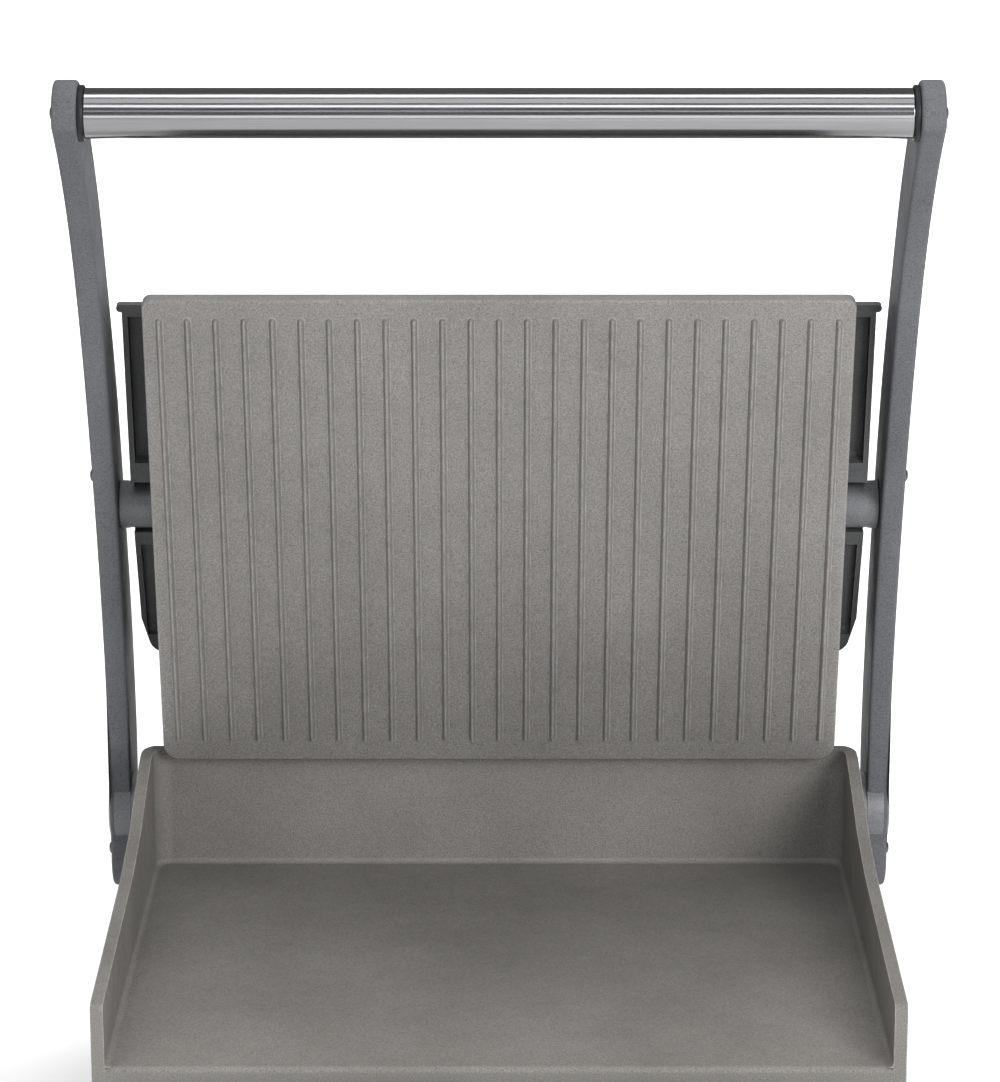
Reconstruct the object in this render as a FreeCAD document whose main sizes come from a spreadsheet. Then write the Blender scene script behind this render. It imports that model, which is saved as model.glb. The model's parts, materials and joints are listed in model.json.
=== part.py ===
import FreeCAD, Part
import os
from math import sin, tan

# Contact grill with a hinged, floating upper plate. Millimetres, +Z up, front towards -Y.
# The origin is the middle of the footprint at table height.
os.makedirs("parts", exist_ok=True)
doc = FreeCAD.newDocument("ContactGrill")
V = FreeCAD.Vector
X_AXIS = V(1, 0, 0)

# ------------------------------------------------------------------ sizes
sheet = doc.addObject("Spreadsheet::Sheet", "dims")
SIZES = [
    # lower grill casting: y from the front edge of its floor, z from the floor
    ("front_y", -172.0), ("floor_z", 125.0),
    ("cast_half", 198.8), ("cast_inner", 192.4), ("cast_depth", 297.0), ("back_inner", 290.8),
    ("floor_thick", 10.0), ("skirt_low", -22.0), ("skirt_wall", 4.8), ("front_low", -14.0),
    ("wall_front", 32.7), ("back_top", 67.7),
    ("notch_x", 127.5), ("notch_wide", 12.0), ("notch_deep", 6.0),
    # body under it
    ("shell_half", 193.5), ("shell_wall", 1.5), ("shell_top", -16.0), ("shell_rear", 361.0),
    ("pan_z", -107.0), ("pan_wall", 1.5), ("foot_r", 16.0), ("foot_tall", 18.0),
    ("foot_x", 165.0), ("foot_front_y", 36.0), ("foot_rear_y", 328.0),
    ("fascia_top", -52.0), ("fascia_thick", 2.0), ("panel_z", -79.0),
    ("knob_x", 120.0), ("knob_r", 20.0), ("lamp_x", 62.0), ("lamp_gap", 24.0), ("rocker_x", -120.0),
    ("housing_half", 197.0), ("housing_front", 297.6), ("housing_rear", 363.0), ("housing_top", 45.0),
    ("housing_wall", 2.5), ("gland_x", -120.0), ("gland_z", -72.0), ("gland_bore", 4.5),
    # hinge
    ("hinge_y", 331.1), ("hinge_z", 19.4), ("shaft_r", 8.0), ("bush_r", 11.0), ("run_gap", 0.05),
    ("bracket_x", 158.0), ("bracket_wall", 4.0), ("spring_r", 13.5), ("wire_r", 1.7),
    # arms: y and z from the hinge axis
    ("arm_inner", 208.5), ("arm_outer", 220.8), ("hub_r", 17.5), ("hub_ring_r", 19.5), ("hub_x", 200.6),
    ("handle_y", -175.8), ("handle_z", 424.8), ("handle_r", 12.7), ("handle_wall", 1.5),
    ("knuckle_r", 16.3), ("ring_r", 14.1), ("ring_thick", 3.0), ("screw_r", 3.6), ("screw_shank", 2.0),
    ("tail_y", 4.0), ("tail_z", -28.0), ("tail_r", 20.0), ("tail_screw_z", -25.0),
    # upper plate: y and z from the trunnion axis, level when closed
    ("trunnion_y", 302.9), ("trunnion_z", 205.1), ("plate_swing", 76.45), ("boss_r", 13.3),
    ("pin_r", 5.0), ("boss_x", 186.0), ("plate_half", 185.9), ("plate_front", -149.7),
    ("plate_rear", 131.1), ("face_z", -56.0), ("plate_thick", 9.0), ("rib_pitch", 14.76),
    ("rib_wide", 3.3), ("rib_tall", 2.5), ("rib_count", 25.0),
    ("cover_half", 201.0), ("cover_top", 22.0), ("cover_wall", 3.0), ("skirt_half", 183.0),
    ("rim_z", -13.0), ("rim_rear_z", 4.0),
    # grease drawer: y and z as for the casting
    ("drawer_half", 170.9), ("drawer_low", -47.6), ("drawer_high", -19.0), ("drawer_in", 58.0),
    ("drawer_out", -20.0), ("drawer_wall", 1.2), ("pull_y", -26.0),
]
for row, (name, value) in enumerate(SIZES, start=1):
    sheet.set("A%d" % row, name)
    sheet.set("B%d" % row, repr(value))
    sheet.setAlias("B%d" % row, name)
doc.recompute()
D = {name: float(sheet.get(name)) for name, value in SIZES}


def ex(text):
    """Turn a size formula written with bare names into a spreadsheet expression."""
    out, word = "", ""
    for ch in str(text) + " ":
        if ch.isalpha() or ch == "_" or (word and ch.isdigit()):
            word += ch
        else:
            out += ("dims." + word if word in D else word) + ch
            word = ""
    return out.strip()


# ------------------------------------------------------------------ building helpers
GROUPS = {
    "base": ("front_y", "floor_z", 0.0),
    "arms": ("front_y + hinge_y", "floor_z + hinge_z", 0.0),
    "plate": ("front_y + trunnion_y", "floor_z + trunnion_z", -D["plate_swing"]),
}
NODES = []


def place(thing, group):
    """Put a sub-part built in its group's own frame into the frame of the whole grill."""
    y, z, turn = GROUPS[group]
    thing.Placement = FreeCAD.Placement(V(0, 0, 0), FreeCAD.Rotation(X_AXIS, turn))
    thing.setExpression("Placement.Base.y", ex(y))
    thing.setExpression("Placement.Base.z", ex(z))
    NODES.append(thing)
    return thing


def new_body(name, group):
    body = doc.addObject("PartDesign::Body", name)
    body.Label = name
    return place(body, group)


def draw(sketch, loop):
    """Add one closed outline: a circle, a slot, or corners (x, y[, rounding radius])."""
    if loop[0] == "circle":
        sketch.addGeometry(Part.Circle(V(loop[1], loop[2], 0), V(0, 0, 1), loop[3]), False)
        return
    if loop[0] == "slot":
        x, y0, y1, r = loop[1:]
        sketch.addGeometry(Part.LineSegment(V(x - r, y1, 0), V(x - r, y0, 0)), False)
        sketch.addGeometry(Part.Arc(V(x - r, y0, 0), V(x, y0 - r, 0), V(x + r, y0, 0)), False)
        sketch.addGeometry(Part.LineSegment(V(x + r, y0, 0), V(x + r, y1, 0)), False)
        sketch.addGeometry(Part.Arc(V(x + r, y1, 0), V(x, y1 + r, 0), V(x - r, y1, 0)), False)
        return
    corners = []
    count = len(loop)
    for i, here in enumerate(loop):
        p = V(here[0], here[1], 0)
        r = here[2] if len(here) > 2 else 0
        if not r:
            corners.append((p, None, p))
            continue
        a = V(loop[i - 1][0], loop[i - 1][1], 0) - p
        b = V(loop[(i + 1) % count][0], loop[(i + 1) % count][1], 0) - p
        a.normalize()
        b.normalize()
        half = a.getAngle(b) / 2
        reach = r / tan(half)
        mid = a + b
        mid.normalize()
        centre = p + mid * (r / sin(half))
        corners.append((p + a * reach, centre - mid * r, p + b * reach))
    for i, (start, mid, end) in enumerate(corners):
        if mid is not None:
            sketch.addGeometry(Part.Arc(start, mid, end), False)
        after = corners[(i + 1) % count][0]
        if (after - end).Length > 1e-6:
            sketch.addGeometry(Part.LineSegment(end, after), False)


def new_sketch(body, plane, position):
    """A sketch on one of the body's own planes, moved along that plane's axis to a position."""
    sketch = body.newObject("Sketcher::SketchObject", body.Name + "_outline")
    base = [f for f in body.Origin.OriginFeatures if f.Role == plane + "_Plane"][0]
    sketch.AttachmentSupport = [(base, "")]
    sketch.MapMode = "FlatFace"
    sign = "-" if plane == "XZ" else ""
    sketch.setExpression("AttachmentOffset.Base.z", ex("%s(%s)" % (sign, position)))
    return sketch


def solid(body, kind, plane, loops, low, high):
    """Pad or pocket the outlines from low to high along the axis the plane faces."""
    at_low = (kind == "Pad") != (plane == "XZ")
    sketch = new_sketch(body, plane, low if at_low else high)
    for loop in loops:
        draw(sketch, loop)
    feature = body.newObject("PartDesign::" + kind, body.Name + "_" + kind.lower())
    feature.Profile = sketch
    feature.setExpression("Length", ex("(%s) - (%s)" % (high, low)))
    sketch.Visibility = False
    return feature


def pad(body, plane, loops, low, high):
    return solid(body, "Pad", plane, loops, low, high)


def cut(body, plane, loops, low, high):
    return solid(body, "Pocket", plane, loops, low, high)


def span(side, low, high):
    """A range along X on the right (side 1) or mirrored to the left (side -1)."""
    return (low, high) if side > 0 else ("-(%s)" % high, "-(%s)" % low)


def rect(x0, y0, x1, y1, r=0.0):
    return [(x0, y0, r), (x1, y0, r), (x1, y1, r), (x0, y1, r)]


def round_edges(body, radius, wanted):
    """Fillet the edges of the body's last feature whose middle and length pass the test."""
    doc.recompute()
    tip = body.Tip
    names = []
    for i, edge in enumerate(tip.Shape.Edges, start=1):
        mid = edge.valueAt((edge.FirstParameter + edge.LastParameter) / 2)
        if wanted(mid, edge):
            names.append("Edge%d" % i)
    fillet = body.newObject("PartDesign::Fillet", body.Name + "_rounding")
    fillet.Base = (tip, names)
    fillet.Radius = radius
    return fillet


def cylinder(name, r, tall, at, axis="Z"):
    """A Part cylinder with bound radius and height, its base centred at three formulas."""
    thing = doc.addObject("Part::Cylinder", name)
    turn = {"Z": FreeCAD.Rotation(), "X": FreeCAD.Rotation(V(0, 1, 0), 90),
            "-X": FreeCAD.Rotation(V(0, 1, 0), -90), "Y": FreeCAD.Rotation(X_AXIS, -90),
            "-Y": FreeCAD.Rotation(X_AXIS, 90)}[axis]
    thing.Placement = FreeCAD.Placement(V(0, 0, 0), turn)
    thing.setExpression("Radius", ex(r))
    thing.setExpression("Height", ex(tall))
    for letter, formula in zip("xyz", at):
        thing.setExpression("Placement.Base." + letter, ex(formula))
    return thing


def join(name, things, group):
    fused = doc.addObject("Part::MultiFuse", name)
    fused.Shapes = things
    fused.Label = name
    return place(fused, group)


def shaped(name, shape, group):
    """A swept or wound sub-part that sketches and primitives can't make."""
    thing = doc.addObject("Part::Feature", name)
    thing.Shape = Part.Compound([shape])
    thing.Label = name
    return place(thing, group)


def screws(name, spots, group, head_r="screw_r", head="1.6", shank="8", axis="Z"):
    """Button screws: each spot is the centre of the head's bearing face; axis points at the head."""
    back = {"Z": "-Z", "-Z": "Z", "X": "-X", "-X": "X", "Y": "-Y", "-Y": "Y"}[axis]
    parts = []
    for i, spot in enumerate(spots):
        for kind, r, tall, way in (("head", head_r, head, axis), ("shank", "screw_shank", shank, back)):
            at = list(spot)
            if way == "-Z":
                at[2] = "(%s) - (%s)" % (at[2], tall)
            parts.append(cylinder("%s_%s%d" % (name, kind, i), r, tall, at, way.replace("-Z", "Z")))
    return join(name, parts, group)


# ------------------------------------------------------------------ lower grill casting
casting = new_body("lower_casting", "base")
wall_line = [(D["cast_depth"], D["back_top"], 2.5), (274.0, D["back_top"] - 0.6, 18),
             (243.0, 59.0, 60), (206.0, 47.5, 80), (160.0, 40.6, 150), (60.0, 35.6, 200),
             (0.0, D["wall_front"], 3.5)]
pad(casting, "YZ", [[(0, D["front_low"]), (5, D["front_low"], 1), (8, D["skirt_low"], 1),
                     (D["cast_depth"], D["skirt_low"])] + wall_line],
    "-cast_half", "cast_half")
ci = D["cast_inner"]
cut(casting, "XY", [[(-ci, -5), (ci, -5), (ci, D["back_inner"], 10), (-ci, D["back_inner"], 10)]],
    "0", "back_top + 5")
round_edges(casting, 3.0, lambda m, e: abs(m.z) < 0.01 and m.y > 20 and abs(m.x) < ci + 0.01)
cut(casting, "YZ", [[(-5, -3.5), (0, -3.5), (0, 0, 3), (4, 0), (4, 0.01), (-5, 0.01)]],
    "-cast_inner", "cast_inner")
inner = D["cast_half"] - D["skirt_wall"]
cut(casting, "XY", [rect(-inner, 5, inner, D["cast_depth"] - 5, 9)], "skirt_low", "-floor_thick")
cut(casting, "XZ", [rect(s * D["notch_x"] - D["notch_wide"] / 2, D["back_top"] - D["notch_deep"],
                         s * D["notch_x"] + D["notch_wide"] / 2, D["back_top"] + 4) for s in (-1, 1)],
    "back_inner - 5", "cast_depth + 5")
ch, cd = D["cast_half"], D["cast_depth"]
for s in (-1, 1):
    corner = [(s * ch, 275), (s * ch, cd, 13), (s * 175, cd), (s * 175, cd + 5), (s * 205, cd + 5),
              (s * 205, 275)]
    cut(casting, "XY", [corner], "skirt_low - 1", "back_top + 1")

# ------------------------------------------------------------------ body shell, pan, fascia
shell = new_body("body_shell", "base")
h, w, rear = D["shell_half"], D["shell_wall"], D["shell_rear"]
pad(shell, "XY", [[(-h, 3), (-h + w, 3), (-h + w, rear - w, 8.5), (h - w, rear - w, 8.5), (h - w, 3),
                   (h, 3), (h, rear, 10), (-h, rear, 10)]], "pan_z + pan_wall", "shell_top")
cut(shell, "XZ", [("circle", D["gland_x"], D["gland_z"], 8.0)], "shell_rear - 5", "shell_rear + 5")
cut(shell, "YZ", [rect(0, D["skirt_low"], 11.5, -10), rect(285.5, D["skirt_low"], 300.5, -10)],
    "-shell_half - 1", "shell_half + 1")

pan = new_body("base_pan", "base")
pad(pan, "XY", [[(-h, 3), (h, 3), (h, rear, 10), (-h, rear, 10)]], "pan_z", "pan_z + pan_wall")
cut(pan, "XY", [("slot", x, y, y + 46, 3.0) for y in (96, 206) for x in range(-110, 111, 20)],
    "pan_z - 1", "pan_z + pan_wall + 1")
FEET = [("fl", -1, "foot_front_y"), ("fr", 1, "foot_front_y"), ("rl", -1, "foot_rear_y"),
        ("rr", 1, "foot_rear_y")]
cut(pan, "XY", [("circle", s * D["foot_x"], D[y], D["screw_shank"]) for tag, s, y in FEET],
    "pan_z - 1", "pan_z + pan_wall + 1")

fascia = new_body("front_fascia", "base")
z = D["panel_z"]
pad(fascia, "XZ", [rect(-h, D["pan_z"], h, D["fascia_top"], 3)], "1", "1 + fascia_thick")
cut(fascia, "XZ", [("circle", D["knob_x"], z, 5.0), ("circle", D["lamp_x"], z, 6.0),
                   ("circle", D["lamp_x"] - D["lamp_gap"], z, 6.0),
                   rect(D["rocker_x"] - 11, z - 14.5, D["rocker_x"] + 11, z + 14.5, 1),
                   ("circle", -180, z, D["screw_shank"]), ("circle", 180, z, D["screw_shank"])],
    "0", "2 + fascia_thick")
screws("fascia_screws", [("-180", "1", "panel_z"), ("180", "1", "panel_z")], "base", axis="-Y")

for tag, s, y in FEET:
    foot = new_body("foot_" + tag, "base")
    x = s * D["foot_x"]
    pad(foot, "XY", [("circle", x, D[y], D["foot_r"])], "pan_z - foot_tall", "pan_z")
    cut(foot, "XY", [("circle", x, D[y], 6.0)], "pan_z - foot_tall", "pan_z - 6")
    cut(foot, "XY", [("circle", x, D[y], D["screw_shank"])], "pan_z - 7", "pan_z + 1")
    round_edges(foot, 2.0, lambda m, e: abs(m.z - D["pan_z"] + D["foot_tall"]) < 0.01
                and e.Length > 80)
screws("foot_screws", [("%d * foot_x" % s, y, "pan_z - 6") for tag, s, y in FEET], "base",
       head_r="4.4", head="2.4", shank="12", axis="-Z")

# ------------------------------------------------------------------ rear hinge housing
housing = new_body("rear_housing", "base")
hw = D["housing_wall"]
f, r = D["housing_front"], D["housing_rear"]
pad(housing, "YZ", [[(f, D["skirt_low"]), (r, D["skirt_low"]), (r, D["housing_top"], 14),
                     (f, D["housing_top"], 4)]], "-housing_half", "housing_half")
cut(housing, "YZ", [[(f + hw, D["skirt_low"] - 1), (r - 1.6, D["skirt_low"] - 1),
                     (r - hw, D["housing_top"] - hw, 12), (f + hw, D["housing_top"] - hw, 3)]],
    "-(housing_half - housing_wall)", "housing_half - housing_wall")
cut(housing, "YZ", [("circle", D["hinge_y"], D["hinge_z"], 10.0)], "-housing_half - 5",
    "housing_half + 5")
cut(housing, "XZ", [("slot", x, 0.0, 16.0, 1.8) for x in range(-98, 99, 14)],
    "housing_rear - 6", "housing_rear + 5")

gland = new_body("cable_gland", "base")
pad(gland, "XZ", [("circle", D["gland_x"], D["gland_z"], 11.0)], "shell_rear", "shell_rear + 9")
pad(gland, "XZ", [("circle", D["gland_x"], D["gland_z"], 8.0)], "shell_rear - 9", "shell_rear + 2")
cut(gland, "XZ", [("circle", D["gland_x"], D["gland_z"], D["gland_bore"])], "shell_rear - 10",
    "shell_rear + 10")

# ------------------------------------------------------------------ brackets, bushes, springs
hy, hz = D["hinge_y"], D["hinge_z"]
for name, s in (("left", -1), ("right", 1)):
    bracket = new_body("bracket_" + name, "base")
    low, high = span(s, "bracket_x", "bracket_x + bracket_wall")
    foot_z = D["pan_z"] + D["pan_wall"]
    pad(bracket, "YZ", [[(304, foot_z), (356, foot_z), (356, -40, 20), (hy + 17, hz - 10, 10),
                         (hy + 17, hz + 17, 16.5), (hy - 17, hz + 17, 16.5), (hy - 17, hz - 10, 10),
                         (304, -40, 20)]], low, high)
    low, high = span(s, "bracket_x", "bracket_x + 18")
    pad(bracket, "YZ", [rect(304, foot_z, 356, foot_z + 3)], low, high)
    cut(bracket, "XY", [("circle", s * D["foot_x"], D["foot_rear_y"], D["screw_shank"])],
        "pan_z", "pan_z + 8")
    if s > 0:
        pad(bracket, "YZ", [rect(hy - 12, hz - 25, hy - 4.3, hz - 16)], "bracket_x - 22", "bracket_x + 1")
    low, high = span(s, "bracket_x - 5", "bracket_x + bracket_wall + 5")
    cut(bracket, "YZ", [("circle", hy, hz, D["bush_r"])], low, high)
    bush = new_body("bush_" + name, "base")
    low, high = span(s, "bracket_x - 3", "bracket_x + bracket_wall + 3")
    pad(bush, "YZ", [("circle", hy, hz, D["bush_r"]),
                     ("circle", hy, hz, D["shaft_r"] + D["run_gap"])], low, high)
    # torsion spring wound round the shaft, a straight leg at each end
    turns, pitch = 7, 2 * D["wire_r"] + 0.5
    coil = Part.makeHelix(pitch, turns * pitch, D["spring_r"])
    ring = Part.Wire(Part.Circle(V(D["spring_r"], 0, 0), V(0, 1, 0), D["wire_r"]).toShape())
    wound = Part.Wire(coil).makePipeShell([ring], True, True)
    leg = Part.makeCylinder(D["wire_r"], 26, V(D["spring_r"], 0, 0), V(0, -1, 0.03))
    end = Part.makeCylinder(D["wire_r"], 22, V(D["spring_r"], 0, turns * pitch), V(0, 1, -0.03))
    spring = wound.fuse([leg, end])
    spring.rotate(V(0, 0, 0), V(0, 1, 0), 90)
    spring.translate(V(100 if s > 0 else -100 - turns * pitch, hy, hz))
    shaped("spring_" + name, spring, "base")

# ------------------------------------------------------------------ heating elements
def element_shape(half, front, rear, r, legs=6):
    """One tube bent back and forth in legs along Y, both ends at the rear."""
    step = 2 * half / (legs - 1)
    edges = []
    for i in range(legs):
        x = -half + i * step
        y0 = rear + 26 if i == 0 else (rear if i % 2 == 0 else front)
        y1 = rear + 26 if i == legs - 1 else (front if i % 2 == 0 else rear)
        edges.append(Part.LineSegment(V(x, y0, 0), V(x, y1, 0)).toShape())
        if i < legs - 1:
            bow = -step / 2 if i % 2 == 0 else step / 2
            edges.append(Part.Arc(V(x, y1, 0), V(x + step / 2, y1 + bow, 0), V(x + step, y1, 0)).toShape())
    ring = Part.Wire(Part.Circle(V(-half, rear + 26, 0), V(0, 1, 0), r).toShape())
    return Part.Wire(edges).makePipeShell([ring], True, False)


tube_r = 3.3
lower = element_shape(150, 104, 240, tube_r)
lower.translate(V(0, 0, -D["floor_thick"] - tube_r))
shaped("lower_element", lower, "base")
clamp = new_body("lower_clamp", "base")
pad(clamp, "XY", [rect(-172, 72, 172, 262, 8)], "-floor_thick - 8.6", "-floor_thick - 6.6")
cut(clamp, "XY", [("circle", x, y, D["screw_shank"]) for x in (-120, 120) for y in (100, 240)],
    "-floor_thick - 10", "-floor_thick - 5")
blanket = new_body("lower_insulation", "base")
pad(blanket, "XY", [rect(-176, 70, 176, 278, 6)], "-floor_thick - 30", "-floor_thick - 12")
screws("casting_screws", [(str(x), str(y), "-floor_thick - 8.6") for x in (-120, 120)
                          for y in (100, 240)], "base", head="2.4", shank="8.6", axis="-Z")

# ------------------------------------------------------------------ controls
thermostat = new_body("thermostat_body", "base")
kx = D["knob_x"]
pad(thermostat, "XZ", [rect(kx - 20, z - 18, kx + 20, z + 18, 3)], "1 + fascia_thick", "34")
pad(thermostat, "XZ", [("circle", kx, z, 4.6)], "0.6", "2 + fascia_thick")
pad(thermostat, "XZ", [("circle", kx, z, 3.0)], "-13", "1")
knob = new_body("control_knob", "base")
pad(knob, "XZ", [("circle", kx, z, D["knob_r"])], "-8", "-0.4")
pad(knob, "XZ", [("circle", kx, z, D["knob_r"] - 3)], "-19", "-7")
pad(knob, "XZ", [rect(kx - 3.2, z - 15, kx + 3.2, z + 15, 2)], "-24", "-18")
cut(knob, "XZ", [("circle", kx, z, 3.05)], "-14", "0")
round_edges(knob, 1.5, lambda m, e: abs(m.y + 19) < 0.01 and e.Length > 60)
for name, x in (("lamp_power", "lamp_x"), ("lamp_ready", "lamp_x - lamp_gap")):
    bezel = cylinder(name + "_bezel", "7.6", "1.6", (x, "-0.6", "panel_z"), "Y")
    stem = cylinder(name + "_stem", "6", "20", (x, "-0.4", "panel_z"), "Y")
    dome = doc.addObject("Part::Sphere", name + "_dome")
    dome.setExpression("Radius", "5")
    dome.setExpression("Placement.Base.x", ex(x))
    dome.setExpression("Placement.Base.y", "0")
    dome.setExpression("Placement.Base.z", ex("panel_z"))
    join(name, [bezel, stem, dome], "base")

rx = D["rocker_x"]
frame = new_body("rocker_frame", "base")
pad(frame, "XZ", [rect(rx - 13, z - 17, rx + 13, z + 17, 2)], "-1.5", "1")
pad(frame, "XZ", [rect(rx - 11, z - 14.5, rx + 11, z + 14.5, 1)], "0", "22")
cut(frame, "XZ", [rect(rx - 9.8, z - 13.3, rx + 9.8, z + 13.3, 0.8)], "-3", "16")
cut(frame, "YZ", [("circle", 5, z, 1.55)], "rocker_x - 11.5", "rocker_x + 11.5")
key = new_body("rocker_key", "base")
key_y = 5.0
pad(key, "YZ", [[(-10, -11.8, 0.8), (-5, 0), (-10, 11.8, 0.8), (2, 11.0, 1), (6, 0), (2, -11.0, 1)]],
    "-9.3", "9.3")
pad(key, "YZ", [("circle", 0, 0, 1.5)], "-10.8", "10.8")
key.Placement = FreeCAD.Placement(V(0, 0, 0), FreeCAD.Rotation(X_AXIS, -7))
key.setExpression("Placement.Base.x", ex("rocker_x"))
key.setExpression("Placement.Base.y", ex("front_y + %s" % key_y))
key.setExpression("Placement.Base.z", ex("floor_z + panel_z"))

terminal = new_body("terminal_block", "base")
pad(terminal, "XY", [rect(-150, 280, -90, 304, 1.5)], "pan_z + pan_wall", "pan_z + 20")
cut(terminal, "XY", [("circle", x, y, 2.6) for x in (-140, -130, -120, -110, -100) for y in (286, 298)],
    "pan_z + 12", "pan_z + 22")

# ------------------------------------------------------------------ grease drawer and its rails
tray = new_body("drawer_tray", "base")
dh, dw = D["drawer_half"], D["drawer_wall"]
pad(tray, "XY", [rect(-dh, D["drawer_out"], dh, D["drawer_in"], 2)], "drawer_low", "drawer_high")
cut(tray, "XY", [rect(-dh + dw, D["drawer_out"] + dw, dh - dw, D["drawer_in"] - dw, 2)],
    "drawer_low + drawer_wall", "drawer_high + 1")
pull = new_body("drawer_front", "base")
pad(pull, "YZ", [[(D["drawer_out"], D["drawer_low"]), (D["drawer_out"], -16),
                  (D["pull_y"] + 3, -16, 1), (D["pull_y"], -20, 1), (D["pull_y"], -27, 1),
                  (D["drawer_out"] - 3, -32, 1), (D["drawer_out"] - 3, D["drawer_low"], 1)]],
    "-190", "190")
for name, s in (("left", -1), ("right", 1)):
    rail = new_body("rail_" + name, "base")
    loop = [(s * 164, -50), (s * 191.9, -50), (s * 191.9, -24), (s * 190.4, -24), (s * 190.4, -48),
            (s * 172.8, -48), (s * 172.8, -30), (s * 171.3, -30), (s * 171.3, -48), (s * 164, -48)]
    pad(rail, "XZ", [loop], "5", "66")

# ------------------------------------------------------------------ arms
# edges of the arm in side view, from the hinge axis: the concave side faces the front
front_edge = [(-192.3, 418.9), (-181.0, 409.6), (-148.0, 376.5), (-109.6, 322.3), (-76.4, 255.9),
              (-52.4, 194.5), (-32.4, 132.0), (-18.5, 68.6), (-14.8, 28.0), (-14.6, -4.0), (-15.6, -24.0)]
rear_edge = [(23.8, -30.8), (27.0, 0.0), (29.5, 26.0), (26.5, 62.0), (16.5, 115.6), (5.0, 155.6),
             (-11.0, 204.6), (-27.0, 246.6), (-50.0, 293.6), (-71.0, 330.6), (-93.0, 366.6),
             (-119.0, 399.6), (-142.0, 422.0), (-163.4, 437.2)]


def draw_arm(sketch):
    def curve(points):
        spline = Part.BSplineCurve()
        spline.interpolate([V(y, z, 0) for y, z in points])
        sketch.addGeometry(spline, False)
    curve(front_edge)
    curve(rear_edge)
    ty, tz, tr = D["tail_y"], D["tail_z"], D["tail_r"]
    sketch.addGeometry(Part.Arc(V(*front_edge[-1], 0), V(ty - 0.7071 * tr, tz - 0.7071 * tr, 0),
                                V(*rear_edge[0], 0)), False)
    qy, qz, qr = D["handle_y"], D["handle_z"], D["knuckle_r"]
    sketch.addGeometry(Part.Arc(V(*rear_edge[-1], 0), V(qy - 0.35 * qr, qz + 0.9368 * qr, 0),
                                V(*front_edge[0], 0)), False)


py, pz = D["trunnion_y"] - D["hinge_y"], D["trunnion_z"] - D["hinge_z"]
mid_y, mid_z = py - 14.0, pz + 20.0
for name, s in (("left", -1), ("right", 1)):
    arm = new_body("arm_" + name, "arms")
    low, high = span(s, "arm_inner", "arm_outer")
    sketch = new_sketch(arm, "YZ", low)
    draw_arm(sketch)
    blade = arm.newObject("PartDesign::Pad", arm.Name + "_blade")
    blade.Profile = sketch
    blade.setExpression("Length", ex("arm_outer - arm_inner"))
    round_edges(arm, 2.6, lambda m, e: abs(abs(m.x) - D["arm_outer"]) < 0.01)
    low, high = span(s, "arm_inner - 3", "arm_outer + 0.8")
    pad(arm, "YZ", [("circle", 0, 0, D["hub_ring_r"])], low, high)
    low, high = span(s, "hub_x", "arm_inner + 1")
    pad(arm, "YZ", [("circle", 0, 0, D["hub_r"])], low, high)
    low, high = span(s, "hub_x - 1", "arm_outer - 3")
    cut(arm, "YZ", [("circle", 0, 0, D["shaft_r"])], low, high)
    low, high = span(s, "arm_inner - 1", "arm_outer - 3")
    cut(arm, "YZ", [("circle", py, pz, D["pin_r"])], low, high)
    low, high = span(s, "arm_inner - 1", "arm_outer + 1")
    cut(arm, "YZ", [("circle", D["handle_y"], D["handle_z"], D["screw_shank"]),
                    ("circle", mid_y, mid_z, D["screw_shank"]),
                    ("circle", 0, D["tail_screw_z"], D["screw_shank"])], low, high)
    way = "X" if s > 0 else "-X"
    face = "%d * arm_outer" % s
    screws("handle_bolt_" + name, [(face, "handle_y", "handle_z")], "arms", head="2.2", shank="24",
           axis=way)
    screws("arm_screws_" + name, [(face, str(mid_y), str(mid_z)), (face, "0", "tail_screw_z")], "arms",
           head="2.4", shank="arm_outer - arm_inner", axis=way)
    pin = cylinder("trunnion_pin_" + name, "pin_r", "arm_outer - 3 - boss_x - 4",
                   ("%d * (boss_x + 4)" % s, str(py), str(pz)), way)
    pin.Label = pin.Name
    place_y = ex("front_y + trunnion_y")
    place_z = ex("floor_z + trunnion_z")
    pin.setExpression("Placement.Base.y", place_y)
    pin.setExpression("Placement.Base.z", place_z)
    NODES.append(pin)
    ring = new_body("handle_ring_" + name, "arms")
    low, high = span(s, "arm_inner - ring_thick", "arm_inner")
    pad(ring, "YZ", [("circle", D["handle_y"], D["handle_z"], D["ring_r"]),
                     ("circle", D["handle_y"], D["handle_z"], 5.0)], low, high)
    plug = new_body("handle_plug_" + name, "arms")
    low, high = span(s, "arm_inner - ring_thick - 18", "arm_inner - ring_thick")
    pad(plug, "YZ", [("circle", D["handle_y"], D["handle_z"], D["handle_r"] - D["handle_wall"]),
                     ("circle", D["handle_y"], D["handle_z"], D["screw_shank"])], low, high)

tube = new_body("handle_tube", "arms")
pad(tube, "YZ", [("circle", D["handle_y"], D["handle_z"], D["handle_r"]),
                 ("circle", D["handle_y"], D["handle_z"], D["handle_r"] - D["handle_wall"])],
    "-(arm_inner - ring_thick)", "arm_inner - ring_thick")
shaft = cylinder("hinge_shaft", "shaft_r", "2 * (arm_outer - 3)",
                 ("-(arm_outer - 3)", "front_y + hinge_y", "floor_z + hinge_z"), "X")
shaft.Label = "hinge_shaft"
NODES.append(shaft)
collar = new_body("stop_collar", "arms")
pad(collar, "YZ", [("circle", 0, 0, 14.0), ("circle", 0, 0, D["shaft_r"])], "140", "150")
pad(collar, "YZ", [[(-4, -23.5, 1), (4, -23.5, 1), (4, -12.0), (-4, -12.0)]], "140", "150")

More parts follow.
